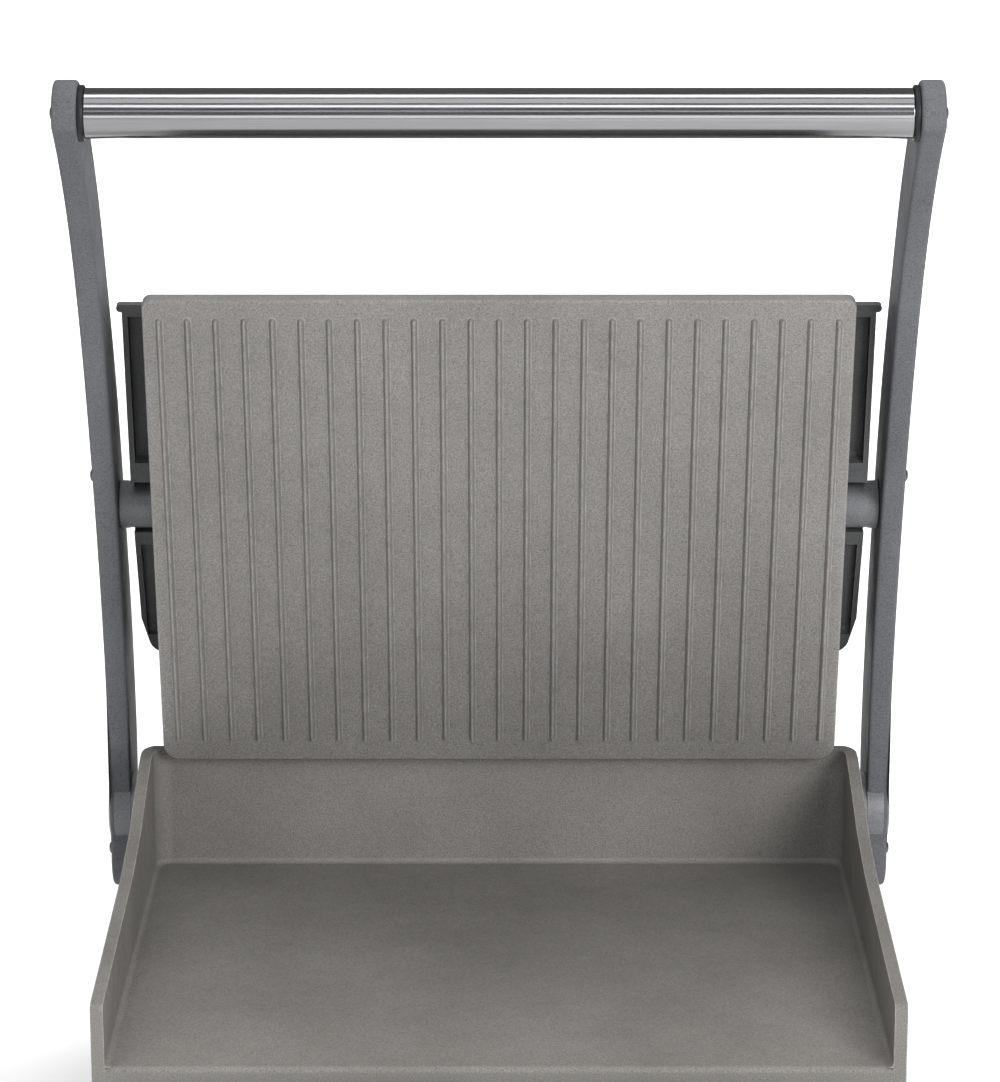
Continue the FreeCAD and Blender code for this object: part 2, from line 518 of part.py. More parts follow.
# ------------------------------------------------------------------ upper plate
half, front, back = D["plate_half"], D["plate_front"], D["plate_rear"]
plate = new_body("upper_plate", "plate")
pad(plate, "XY", [[(-half, front, 4.5), (half, front, 4.5), (half, back, 9), (-half, back, 9)]],
    "face_z", "face_z + plate_thick")
round_edges(plate, 1.2, lambda m, e: abs(m.z - D["face_z"]) < 0.01)
count = int(D["rib_count"])
ribs = [("slot", (i - (count - 1) / 2) * D["rib_pitch"], front + 11.8, back - 14.3, D["rib_wide"] / 2)
        for i in range(count)]
pad(plate, "XY", ribs, "face_z - rib_tall", "face_z + 1")

boss_gap = 0.3
for name, s in (("left", -1), ("right", 1)):
    boss = new_body("trunnion_boss_" + name, "plate")
    low, high = span(s, "boss_x", "arm_inner - %s" % boss_gap)
    pad(boss, "YZ", [("circle", 0, 0, D["boss_r"])], low, high)
    low, high = span(s, "boss_x + 3", "arm_inner + 1")
    cut(boss, "YZ", [("circle", 0, 0, D["pin_r"] + D["run_gap"])], low, high)

# ------------------------------------------------------------------ upper cover
# side view from the trunnion axis; the rim climbs to the rear to pass over the casting's walls
cover = new_body("upper_cover", "plate")
rim, rim_rear, top = D["rim_z"], D["rim_rear_z"], D["cover_top"]
tw = D["cover_wall"]
wide = [(-124.5, rim), (-10, rim, 40), (70, rim_rear, 20), (103, 10.8, 2), (99, 15.6, 4),
        (80, top, 14), (-100, top, 16), (-119, 5, 14), (-124.5, rim + 4, 2)]
pad(cover, "YZ", [wide], "-cover_half", "cover_half")
seat = D["face_z"] + D["plate_thick"]
cover_front, cover_back = -126.0, 126.0
skirt = [(cover_front, seat), (cover_back, seat), (120.5, -18, 20), (100, 14, 18), (80, top, 16),
         (-100, top, 16), (-120, 5, 14), (cover_front, rim, 4)]
pad(cover, "YZ", [skirt], "-skirt_half", "skirt_half")
lip = D["cover_half"] + 2.8
pad(cover, "XY", [[(-lip, -127.2, 2), (lip, -127.2, 2), (lip, -122.8, 2), (-lip, -122.8, 2)]],
    "rim_z", "rim_z + 4")
# planform: the wide part narrows at the rear so it fits between the casting's side walls
for s in (-1, 1):
    loop = [(s * 215, 66), (s * 203, 66, 0), (s * 196.5, 97, 10), (s * 190, 101.5, 6),
            (s * 183, 104, 3), (s * 183, 110), (s * 215, 110)]
    cut(cover, "XY", [loop], "rim_z - 10", "cover_top + 10")
cavity = [(cover_front + tw, seat - 1), (cover_back - tw, seat - 1), (117.5, -19, 17), (97.5, 11.5, 15),
          (79, top - tw, 13), (-100, top - tw, 13), (-117.5, 3, 12), (cover_front + tw, rim, 3)]
cut(cover, "YZ", [cavity], "-(skirt_half - 3)", "skirt_half - 3")
# shallow pockets under the wide part, either side of the trunnion
pockets = [[(-120.5, rim - 1), (-32, rim - 1), (-33, rim + 9, 3), (-117, rim + 9, 4)],
           [(19, rim - 1), (68, rim_rear - 2, 20), (88, rim_rear), (87, rim_rear + 9, 3),
            (24, rim + 12, 6)]]
for s in (-1, 1):
    low, high = span(s, "boss_x", "cover_half - cover_wall")
    cut(cover, "YZ", pockets, low, high)
    low, high = span(s, "boss_x", "cover_half + 1")
    br = D["boss_r"] + 0.1
    notch = [(-br - 7, -30), (br, -30), (br, br, br - 0.01), (-br, br, br - 0.01), (-br, 2, 4),
             (-br - 7, -4, 4)]
    cut(cover, "YZ", [notch], low, high)

upper = element_shape(150, -82, 58, tube_r)
upper.translate(V(0, 0, seat + tube_r))
shaped("upper_element", upper, "plate")
clamp2 = new_body("upper_clamp", "plate")
pad(clamp2, "XY", [rect(-172, -118, 172, 78, 8)], "face_z + plate_thick + 6.6",
    "face_z + plate_thick + 8.6")
spots = [(x, y) for x in (-120, 120) for y in (-90, 50)]
cut(clamp2, "XY", [("circle", x, y, D["screw_shank"]) for x, y in spots],
    "face_z + plate_thick + 5", "face_z + plate_thick + 10")
blanket2 = new_body("upper_insulation", "plate")
pad(blanket2, "XY", [rect(-176, -118, 176, 92, 6)], "face_z + plate_thick + 11.2",
    "face_z + plate_thick + 32")
screws("cover_screws", [(str(x), str(y), "face_z + plate_thick + 8.6") for x, y in spots], "plate",
       head="2.4", shank="8.6", axis="Z")

# ------------------------------------------------------------------ checks and export
doc.recompute()
for thing in doc.Objects:
    if "Invalid" in thing.State or "Error" in thing.State:
        raise RuntimeError("%s did not build: %s" % (thing.Name, thing.State))
for node in NODES:
    shape = node.Shape
    if shape.isNull() or not shape.isValid():
        raise RuntimeError("%s has no valid shape" % node.Label)
    shape.exportStep("parts/%s.step" % node.Label)
print("%d sub-parts" % len(NODES))
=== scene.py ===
import bmesh
import bpy
import json
import math
from mathutils import Matrix, Vector


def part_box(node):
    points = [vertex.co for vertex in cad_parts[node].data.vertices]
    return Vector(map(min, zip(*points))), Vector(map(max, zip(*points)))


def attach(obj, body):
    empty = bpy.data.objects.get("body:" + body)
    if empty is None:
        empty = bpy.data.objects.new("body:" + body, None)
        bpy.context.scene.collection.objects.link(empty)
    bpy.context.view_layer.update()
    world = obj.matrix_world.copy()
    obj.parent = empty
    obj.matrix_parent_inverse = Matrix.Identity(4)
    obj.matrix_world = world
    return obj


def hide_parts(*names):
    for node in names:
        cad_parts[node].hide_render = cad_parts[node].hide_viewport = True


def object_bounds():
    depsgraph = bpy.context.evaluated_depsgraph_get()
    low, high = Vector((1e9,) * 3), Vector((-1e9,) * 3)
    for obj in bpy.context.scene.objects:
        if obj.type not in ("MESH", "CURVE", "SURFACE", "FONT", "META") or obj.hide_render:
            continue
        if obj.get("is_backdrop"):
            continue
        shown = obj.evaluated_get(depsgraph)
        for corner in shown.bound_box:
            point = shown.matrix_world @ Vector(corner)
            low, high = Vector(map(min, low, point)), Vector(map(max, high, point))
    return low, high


# Looks of a contact grill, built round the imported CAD. Lengths are in metres.
MM = 0.001
SIDES = (("left", -1), ("right", 1))
# points closer together than this count as one
WELD = 1e-7
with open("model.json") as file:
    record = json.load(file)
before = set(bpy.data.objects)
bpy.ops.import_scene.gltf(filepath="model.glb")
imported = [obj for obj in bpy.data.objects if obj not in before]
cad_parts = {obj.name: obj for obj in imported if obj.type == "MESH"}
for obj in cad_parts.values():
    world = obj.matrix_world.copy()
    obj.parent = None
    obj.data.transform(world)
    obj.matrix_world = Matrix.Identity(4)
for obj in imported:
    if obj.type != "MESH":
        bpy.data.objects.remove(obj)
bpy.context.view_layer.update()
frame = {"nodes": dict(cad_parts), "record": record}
nodes = frame["nodes"]
joints = {j["name"]: j for j in frame["record"]["behaviour"]["joints"]}
hinge = Vector(joints["arm_hinge"]["pos_m"])
trunnion = Vector(joints["plate_tilt"]["pos_m"])
# the plate is level when both hinges have closed, so at rest it stands swung back by their sum
swing = math.radians(joints["arm_hinge"]["range_deg"][1] + joints["plate_tilt"]["range_deg"][1])
plate_frame = Matrix.Translation(trunnion) @ Matrix.Rotation(-swing, 4, "X")


# ------------------------------------------------------------------ node helpers
class Graph:
    """A material's node tree, with one short call for each kind of node used here."""

    def __init__(self, name):
        self.material = bpy.data.materials.new(name)
        self.material.use_nodes = True
        self.tree = self.material.node_tree
        self.shader = self.tree.nodes["Principled BSDF"]

    def node(self, kind, inputs=None, **settings):
        made = self.tree.nodes.new("ShaderNode" + kind)
        for key, value in settings.items():
            setattr(made, key, value)
        for key, value in (inputs or {}).items():
            if isinstance(value, bpy.types.NodeSocket):
                self.tree.links.new(value, made.inputs[key])
            else:
                made.inputs[key].default_value = value
        return made

    def place(self, stretch=(1, 1, 1)):
        """Object coordinates in metres, squeezed by stretch along each axis."""
        where = self.node("TexCoord").outputs["Object"]
        return self.node("Mapping", {"Vector": where, "Scale": stretch}).outputs["Vector"]

    def noise(self, scale, stretch=(1, 1, 1), detail=4.0, roughness=0.55):
        return self.node("TexNoise", {"Vector": self.place(stretch), "Scale": scale, "Detail": detail,
                                      "Roughness": roughness}).outputs["Fac"]

    def remap(self, value, low, high, start=0.3, end=0.7):
        return self.node("MapRange", {"Value": value, "From Min": start, "From Max": end,
                                      "To Min": low, "To Max": high}).outputs["Result"]

    def mix(self, factor, a, b, mode="MIX"):
        made = self.node("Mix", {0: factor}, data_type="RGBA", blend_type=mode)
        for socket, value in ((made.inputs[6], a), (made.inputs[7], b)):
            if isinstance(value, bpy.types.NodeSocket):
                self.tree.links.new(value, socket)
            else:
                socket.default_value = (*value, 1.0)
        return made.outputs[2]

    def edges(self, radius=0.0012, reach=0.12):
        """1 on sharp edges and 0 elsewhere, patchy: found where a rounded normal leaves the true one."""
        rounded = self.node("Bevel", {"Radius": radius}, samples=4).outputs["Normal"]
        true = self.node("NewGeometry").outputs["Normal"]
        along = self.node("VectorMath", {0: rounded, 1: true}, operation="DOT_PRODUCT").outputs["Value"]
        worn = self.remap(along, 1.0, 0.0, 1.0 - reach, 1.0)
        patchy = self.remap(self.noise(160.0, detail=3.0), 0.2, 1.0, 0.35, 0.6)
        return self.node("Math", {0: worn, 1: patchy}, operation="MULTIPLY", use_clamp=True).outputs[0]

    def bump(self, height, strength, distance, below=None):
        inputs = {"Height": height, "Strength": strength, "Distance": distance}
        if below is not None:
            inputs["Normal"] = below
        return self.node("Bump", inputs).outputs["Normal"]

    def wire(self, **sockets):
        for key, value in sockets.items():
            name = key.replace("_", " ")
            if isinstance(value, bpy.types.NodeSocket):
                self.tree.links.new(value, self.shader.inputs[name])
            else:
                self.shader.inputs[name].default_value = value
        return self.material


def cast(name, light, dark, metallic, rough, grain, depth, worn=None, sheen=0.5, contrast=0.5):
    """A cast or coated metal skin: cloudy tone, sandy grain with pits and specks, brighter worn edges."""
    g = Graph(name)
    cloud = g.noise(11.0, detail=7.0, roughness=0.62)
    sand = g.noise(grain, detail=2.0, roughness=0.6)
    colour = g.mix(g.remap(cloud, 0.0, 1.0), dark, light)
    fine = g.mix(g.remap(sand, 0.0, 1.0, 0.34, 0.66), (1 - contrast,) * 3, (1 + contrast,) * 3)
    colour = g.mix(1.0, colour, fine, "MULTIPLY")
    colour = g.mix(g.remap(sand, 0.5, 0.0, 0.28, 0.36), colour, [c * 0.4 for c in dark])
    if worn:
        colour = g.mix(g.edges(), colour, worn)
    rub = g.noise(60.0, detail=6.0)
    spread = g.node("Math", {0: g.remap(rub, rough - 0.08, rough + 0.1), 1: g.remap(sand, -0.05, 0.06)},
                    operation="ADD").outputs[0]
    g.wire(Metallic=metallic, Base_Color=colour, Specular_IOR_Level=sheen, Roughness=spread,
           Normal=g.bump(sand, 0.6, depth, g.bump(g.noise(140.0, detail=5.0), 0.25, depth * 4)))
    return g.material


def drawn(name, colour, rough, stretch, scale=900.0, depth=0.00003, anisotropy=0.0, dark=0.82):
    """Bare metal with fine lines along the axis that stretch leaves small."""
    g = Graph(name)
    lines = g.noise(scale, stretch, detail=5.0, roughness=0.65)
    smudge = g.noise(14.0, detail=4.0)
    tone = g.mix(g.remap(lines, 0.0, 1.0), [c * dark for c in colour], colour)
    tone = g.mix(g.remap(smudge, 0.0, 0.25), tone, [c * 0.78 for c in colour])
    spread = g.node("Math", {0: g.remap(lines, rough * 0.75, rough * 1.3),
                             1: g.remap(smudge, -0.02, 0.05)}, operation="ADD").outputs[0]
    g.wire(Metallic=1.0, Base_Color=tone, Roughness=spread, Anisotropic=anisotropy,
           Normal=g.bump(lines, 0.25, depth))
    return g.material


def moulded(name, colour, rough, grain=1500.0, depth=0.00004, gloss=0.5):
    """Moulded plastic or rubber with a fine spark-eroded grain and faint handling marks."""
    g = Graph(name)
    fine = g.noise(grain, detail=2.0)
    marks = g.noise(45.0, (1, 1, 3), detail=6.0)
    tone = g.mix(g.remap(marks, 0.0, 0.5), colour, [c * 1.35 + 0.004 for c in colour])
    g.wire(Base_Color=tone, Specular_IOR_Level=gloss,
           Roughness=g.remap(marks, rough - 0.06, rough + 0.08), Normal=g.bump(fine, 0.3, depth))
    return g.material


def heat_tinted(name):
    """Oxidised sheath of a heating element: straw, brown and blue bands over dull steel."""
    g = Graph(name)
    ramp = g.node("ValToRGB", {"Fac": g.noise(22.0, detail=3.0)})
    stops = [(0.3, (0.10, 0.09, 0.08)), (0.5, (0.26, 0.19, 0.11)), (0.62, (0.14, 0.11, 0.14)),
             (0.75, (0.12, 0.13, 0.17))]
    elements = ramp.color_ramp.elements
    elements[0].position, elements[0].color = stops[0][0], (*stops[0][1], 1)
    elements[1].position, elements[1].color = stops[-1][0], (*stops[-1][1], 1)
    for position, colour in stops[1:-1]:
        elements.new(position).color = (*colour, 1)
    fine = g.noise(1200.0)
    g.wire(Metallic=0.85, Base_Color=ramp.outputs["Color"], Roughness=g.remap(fine, 0.38, 0.6),
           Normal=g.bump(fine, 0.3, 0.00004))
    return g.material


def fibre(name, light, dark):
    """Pressed mineral fibre: tangled strands and a soft, broken surface."""
    g = Graph(name)
    strands = g.noise(700.0, (1, 5, 1), detail=8.0, roughness=0.75)
    tufts = g.noise(120.0, detail=6.0)
    g.wire(Base_Color=g.mix(g.remap(strands, 0.0, 1.0), dark, light), Roughness=g.remap(tufts, 0.85, 1.0),
           Sheen_Weight=0.3, Normal=g.bump(strands, 0.6, 0.0006, g.bump(tufts, 0.5, 0.0012)))
    return g.material


def lens(name, colour):
    """Tinted indicator lens: glossy, partly clear, with faint moulded ripples."""
    g = Graph(name)
    ripple = g.noise(900.0, detail=1.0)
    cloud = g.noise(260.0)
    g.wire(Base_Color=g.mix(g.remap(cloud, 0.0, 1.0), colour, [c * 0.6 for c in colour]),
           Transmission_Weight=0.35, IOR=1.49, Coat_Weight=0.4, Roughness=g.remap(cloud, 0.08, 0.2),
           Normal=g.bump(ripple, 0.2, 0.00008))
    return g.material


MATERIALS = {
    "grill_iron": cast("grill_iron", (0.214, 0.206, 0.192), (0.166, 0.159, 0.147), 0.06, 0.54, 1500.0,
                       0.00032, worn=(0.36, 0.35, 0.33), sheen=0.22, contrast=0.26),
    "arm_casting": cast("arm_casting", (0.142, 0.146, 0.155), (0.110, 0.113, 0.121), 0.0, 0.62, 1400.0,
                        0.00024, worn=(0.24, 0.24, 0.25), sheen=0.04, contrast=0.22),
    "cover_casting": cast("cover_casting", (0.095, 0.097, 0.10), (0.070, 0.071, 0.073), 0.0, 0.50,
                          1600.0, 0.00016, worn=(0.13, 0.13, 0.13), sheen=0.18, contrast=0.2),
    "housing_paint": cast("housing_paint", (0.062, 0.064, 0.067), (0.048, 0.050, 0.052), 0.0, 0.5, 700.0,
                          0.0003, contrast=0.2),
    "handle_steel": drawn("handle_steel", (0.33, 0.33, 0.342), 0.13, (0.012, 1, 1), 1500.0, 0.00002),
    "stainless_sheet": drawn("stainless_sheet", (0.54, 0.535, 0.527), 0.30, (0.012, 1, 1), 1500.0,
                             0.00002, anisotropy=0.5),
    "plain_steel": drawn("plain_steel", (0.52, 0.52, 0.53), 0.36, (1, 0.2, 0.2), 700.0),
    "spring_steel": drawn("spring_steel", (0.16, 0.16, 0.17), 0.32, (1, 1, 1), 500.0),
    "screw_steel": drawn("screw_steel", (0.16, 0.16, 0.17), 0.32, (0.3, 1, 1), 1800.0),
    "bush_bronze": drawn("bush_bronze", (0.55, 0.38, 0.17), 0.42, (1, 1, 1), 1100.0, dark=0.7),
    "black_plastic": moulded("black_plastic", (0.012, 0.012, 0.014), 0.48, gloss=0.3),
    "foot_rubber": moulded("foot_rubber", (0.016, 0.016, 0.016), 0.78, 900.0, 0.00008, 0.3),
    "white_plastic": moulded("white_plastic", (0.62, 0.61, 0.57), 0.45),
    "rocker_plastic": moulded("rocker_plastic", (0.02, 0.02, 0.022), 0.22, 2200.0, 0.00001, 0.6),
    "element_sheath": heat_tinted("element_sheath"),
    "insulation": fibre("insulation", (0.72, 0.70, 0.64), (0.50, 0.48, 0.42)),
    "lamp_green": lens("lamp_green", (0.02, 0.30, 0.06)),
    "lamp_amber": lens("lamp_amber", (0.62, 0.24, 0.015)),
}
dial_paint = moulded("dial_paint", (0.55, 0.55, 0.54), 0.4)
# a lighter copy of the arm casting's colour for the hubs and trunnion bosses: painted light that makes
# them read as lit beside the blades; it is also glossier (more specular, smoother)
hub_casting_painted_light = cast("hub_casting_painted_light", (0.188, 0.191, 0.201), (0.150, 0.153, 0.161), 0.1, 0.38, 1500.0,
                   0.00022, worn=(0.30, 0.30, 0.31), sheen=0.55, contrast=0.22)
ribbed_iron = cast("ribbed_iron", (0.222, 0.215, 0.204), (0.176, 0.170, 0.160), 0.12, 0.42, 1400.0,
                   0.00030, worn=(0.42, 0.41, 0.39), sheen=0.45, contrast=0.30)
node_slots = {row["node"]: row["material_slot"] for row in frame["record"]["subparts"]}


# ------------------------------------------------------------------ mesh helpers
def linked(name, data):
    """A new object with this data, in the scene."""
    made = bpy.data.objects.new(name, data)
    bpy.context.collection.objects.link(made)
    return made


def piece(name, bm, slot, body, stands_for=(), smooth_angle=40, material=None):
    """Turn a bmesh into a finished piece riding on a CAD body."""
    bmesh.ops.recalc_face_normals(bm, faces=bm.faces)
    mesh = bpy.data.meshes.new(name)
    bm.to_mesh(mesh)
    bm.free()
    mesh.polygons.foreach_set("use_smooth", [True] * len(mesh.polygons))
    mesh.set_sharp_from_angle(angle=math.radians(smooth_angle))
    made = linked(name, mesh)
    made.data.materials.append(material or MATERIALS[slot])
    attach(made, body)
    if stands_for:
        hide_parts(*stands_for)
    return made


def skin(bm, rings, close_ends=True):
    """Join equal rings of points with quads, and close the first and last ring with a face."""
    made = [[bm.verts.new(p) for p in ring] for ring in rings]
    for low, high in zip(made, made[1:]):
        for i in range(len(low)):
            j = (i + 1) % len(low)
            bm.faces.new((low[i], low[j], high[j], high[i]))
    if close_ends:
        caps = [bm.faces.new(made[0]), bm.faces.new(list(reversed(made[-1])))]
        bmesh.ops.triangulate(bm, faces=caps)


def inset(outline, distance):
    """Move every point of a closed outline inwards by a distance; the outline runs anticlockwise."""
    moved = []
    count = len(outline)
    for i, p in enumerate(outline):
        before = (p - outline[i - 1]).normalized()
        after = (outline[(i + 1) % count] - p).normalized()
        normal = Vector((-(before.y + after.y), before.x + after.x)).normalized()
        lean = max(0.5, normal.dot(Vector((-after.y, after.x))))
        moved.append(p + normal * (distance / lean))
    return moved


def slab(bm, outline, rim, to_space):
    """A solid whose edge follows a rim: each rim pair is (place through the thickness, inset)."""
    rings = []
    for place, depth in rim:
        rings.append([to_space(p, place) for p in inset(outline, depth)])
    skin(bm, rings)


def rounded_rim(low, high, radius, steps=5):
    """Rim pairs for a slab from low to high with round edges."""
    quarter = [math.radians(90 * i / steps) for i in range(steps + 1)]
    rim = [(low + radius * (1 - math.sin(a)), radius * (1 - math.cos(a))) for a in reversed(quarter)]
    rim += [(high - radius * (1 - math.sin(a)), radius * (1 - math.cos(a))) for a in quarter]
    return rim


def rounded_box(x0, y0, x1, y1, radius, steps=8):
    """An anticlockwise rectangle with round corners; radius is one value or one per corner."""
    radii = radius if isinstance(radius, (list, tuple)) else [radius] * 4
    corners = [(x0, y0, 180), (x1, y0, 270), (x1, y1, 0), (x0, y1, 90)]
    points = []
    for (x, y, start), r in zip(corners, radii):
        cx, cy = x + (r if x == x0 else -r), y + (r if y == y0 else -r)
        for i in range(steps + 1):
            a = math.radians(start + 90 * i / steps)
            points.append(Vector((cx + r * math.cos(a), cy + r * math.sin(a))))
    return points


def pill(x, y0, y1, radius, steps=10):
    """An anticlockwise slot shape along y."""
    points = []
    for y, start in ((y1, 0), (y0, 180)):
        for i in range(steps + 1):
            a = math.radians(start + 180 * i / steps)
            points.append(Vector((x + radius * math.cos(a), y + radius * math.sin(a))))
    return points


def axes(direction):
    """The unit vector along a direction and two more, square to it and to each other."""
    axis = Vector(direction).normalized()
    side = axis.orthogonal().normalized()
    return axis, side, axis.cross(side)


def both_ends(half, length, between=()):
    """A lathe profile from the shape of its first end, mirrored for the second."""
    return half + list(between) + [(length - place, radius) for place, radius in reversed(half)]


def lathe(bm, profile, centre, direction, segments=64):
    """Turn (place along the axis, radius) pairs about an axis; a zero radius closes an end."""
    axis, side, other = axes(direction)
    rings = []
    for place, radius in profile:
        middle = Vector(centre) + axis * place
        if radius < WELD:
            rings.append([bm.verts.new(middle)])
            continue
        rings.append([bm.verts.new(middle + (side * math.cos(a) + other * math.sin(a)) * radius)
                      for a in (2 * math.pi * i / segments for i in range(segments))])
    for low, high in zip(rings, rings[1:]):
        for i in range(segments):
            j = (i + 1) % segments
            corners = [low[i % len(low)], low[j % len(low)], high[j % len(high)], high[i % len(high)]]
            unique = [c for k, c in enumerate(corners) if c not in corners[:k]]
            if len(unique) > 2:
                bm.faces.new(unique)


def slice_outline(node, place):
    """The outer outline of a CAD node cut across X at a place, as points (y, z) going anticlockwise."""
    bm = bmesh.new()
    bm.from_mesh(nodes[node].data)
    bmesh.ops.remove_doubles(bm, verts=bm.verts, dist=1e-6)
    cut = bmesh.ops.bisect_plane(bm, geom=bm.verts[:] + bm.edges[:] + bm.faces[:], dist=1e-9,
                                 plane_co=(place, 0, 0), plane_no=(1, 0, 0))["geom_cut"]
    after = {}
    for edge in cut:
        if isinstance(edge, bmesh.types.BMEdge):
            a, b = edge.verts
            after.setdefault(a, []).append(b)
            after.setdefault(b, []).append(a)
    loops, seen = [], set()
    for start in after:
        loop, here = [], start if start not in seen else None
        while here is not None:
            seen.add(here)
            loop.append(Vector((here.co.y, here.co.z)))
            here = next((v for v in after[here] if v not in seen), None)
        if loop:
            loops.append(loop)
    bm.free()
    area = lambda l: 0.5 * sum(a.x * b.y - b.x * a.y for a, b in zip(l, l[1:] + l[:1]))
    best = max(loops, key=lambda l: abs(area(l)))
    return best if area(best) > 0 else best[::-1]


def even(outline, step):
    """The same closed outline with points spaced evenly along it."""
    count = len(outline)
    lengths = [(outline[(i + 1) % count] - outline[i]).length for i in range(count)]
    total = sum(lengths)
    wanted = max(12, int(total / step))
    points, i, gone = [], 0, 0.0
    for k in range(wanted):
        target = total * k / wanted
        while gone + lengths[i] < target:
            gone += lengths[i]
            i += 1
        t = (target - gone) / lengths[i]
        points.append(outline[i].lerp(outline[(i + 1) % count], t))
    return points


def soften(node, width):
    """Round a CAD node's sharp edges with modifiers, leaving its own mesh alone."""
    seam, level, sharp = 0.000002, math.radians(0.3), math.radians(32)
    thing = nodes[node]
    weld = thing.modifiers.new("weld", "WELD")
    weld.merge_threshold = seam
    flat = thing.modifiers.new("flat", "DECIMATE")
    flat.decimate_type, flat.angle_limit = "DISSOLVE", level
    bevel = thing.modifiers.new("bevel", "BEVEL")
    bevel.width, bevel.segments = width, 3
    bevel.limit_method, bevel.angle_limit = "ANGLE", sharp
    bevel.use_clamp_overlap = True
    shade = thing.modifiers.new("shade", "WEIGHTED_NORMAL")
    shade.weight, shade.keep_sharp = 80, True
    thing.data.polygons.foreach_set("use_smooth", [True] * len(thing.data.polygons))


# ------------------------------------------------------------------ carried-over CAD nodes
for name, thing in nodes.items():
    thing.data.materials.clear()
    thing.data.materials.append(MATERIALS[node_slots[name]])
# nodes that keep their own mesh, with the width of their rounded edges in millimetres
SOFT_EDGES = {
    "lower_casting": 1.3, "upper_cover": 0.9, "rear_housing": 0.8, "body_shell": 0.4,
    "front_fascia": 0.5, "base_pan": 0.4, "drawer_tray": 0.4, "drawer_front": 0.8, "rail_left": 0.3,
    "rail_right": 0.3, "bracket_left": 0.5, "bracket_right": 0.5, "rocker_frame": 0.5,
    "rocker_key": 0.5, "terminal_block": 0.4, "thermostat_body": 0.4, "cable_gland": 0.6,
    "stop_collar": 0.4, "lower_clamp": 0.3, "upper_clamp": 0.3, "lower_insulation": 1.5,
    "upper_insulation": 1.5,
}
for name, width in SOFT_EDGES.items():
    soften(name, width * MM)


# ------------------------------------------------------------------ upper plate
def build_upper_plate():
    """Flat iron plate with rounded corners and a row of domed ribs on its cooking side."""
    local = plate_frame.inverted()
    spots = [local @ v.co for v in nodes["upper_plate"].data.vertices]
    half = max(p.x for p in spots)
    front, rear = min(p.y for p in spots), max(p.y for p in spots)
    tip = min(p.z for p in spots)
    thick, edge, front_corner, rear_corner = 9.0 * MM, 1.3 * MM, 4.5 * MM, 9 * MM
    rib_tall, rib_wide, rib_count, rib_pitch = 2.5 * MM, 3.3 * MM, 25, 14.76 * MM
    rib_from_front, rib_from_rear = 11.8 * MM, 14.3 * MM
    face = tip + rib_tall
    to_space = lambda p, z: plate_frame @ Vector((p.x, p.y, z))
    bm = bmesh.new()
    outline = rounded_box(-half, front, half, rear,
                          [front_corner, front_corner, rear_corner, rear_corner], 10)
    slab(bm, outline, rounded_rim(face, face + thick, edge), to_space)
    # a rib's flank as (height over the face, inset) in millimetres: a flared foot, then a domed top
    flare = [(0.05, -0.4), (-0.06, -0.16), (-0.35, 0.02), (-0.85, 0.24), (-1.35, 0.48), (-1.8, 0.74),
             (-2.16, 1.0), (-2.4, 1.27), (-2.5, 1.57)]
    for i in range(rib_count):
        x = (i - (rib_count - 1) / 2) * rib_pitch
        ring = pill(x, front + rib_from_front, rear - rib_from_rear, rib_wide / 2)
        slab(bm, ring, [(face + h * MM, d * MM) for h, d in flare], to_space)
    piece("upper_plate_iron", bm, "grill_iron", "plate", ["upper_plate"], material=ribbed_iron)


build_upper_plate()


# ------------------------------------------------------------------ arms, hubs and bosses
HUB_PROUD = 0.8 * MM


def blade_face(name, side):
    """Where an arm's outer face is: the hub at the arm's foot stands a little proud of it."""
    low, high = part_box("arm_" + name)
    return (high.x if side > 0 else low.x) - side * HUB_PROUD


def build_arm(name, side):
    """An arm's blade with round edges, and the hub at its foot as a piece of its own."""
    thick, halfway, edge, spacing = 12.3 * MM, 6.1 * MM, 2.0 * MM, 2.0 * MM
    outer = blade_face(name, side)
    inner = outer - side * thick
    outline = even(slice_outline("arm_" + name, outer - side * halfway), spacing)
    bm = bmesh.new()
    near, far = sorted((inner, outer))
    slab(bm, outline, rounded_rim(near, far, edge), lambda p, x: Vector((x, p.x, p.y)))
    piece("arm_casting_" + name, bm, "arm_casting", "arms", ["arm_" + name], 38)
    bm = bmesh.new()
    # the hub as (distance out from the blade's inner face, radius) in millimetres: rounded outer
    # end, straight side, groove, shoulder, and the neck that reaches in towards the housing
    across = abs(outer - inner) / MM
    top = across + HUB_PROUD / MM
    hub = [(top, 0.0), (top, 15.5), (across + 0.5, 17.2), (across - 0.3, 18.6), (across - 1.6, 19.3),
           (across - 3.0, 19.5), (0.4, 19.5), (0.0, 19.1), (-0.5, 19.1), (-0.9, 19.5), (-2.2, 19.5),
           (-2.8, 19.1), (-3.0, 18.5), (-3.1, 17.9), (-3.6, 17.5), (-7.0, 17.5), (-7.7, 16.9),
           (-7.9, 15.9), (-7.9, 0.0)]
    lathe(bm, [(p * MM, r * MM) for p, r in hub], (inner, hinge.y, hinge.z), (side, 0, 0), 96)
    # the hub takes the lighter copy of the arm casting's colour: painted light on the hub
    piece("arm_hub_" + name, bm, "arm_casting", "arms", material=hub_casting_painted_light)


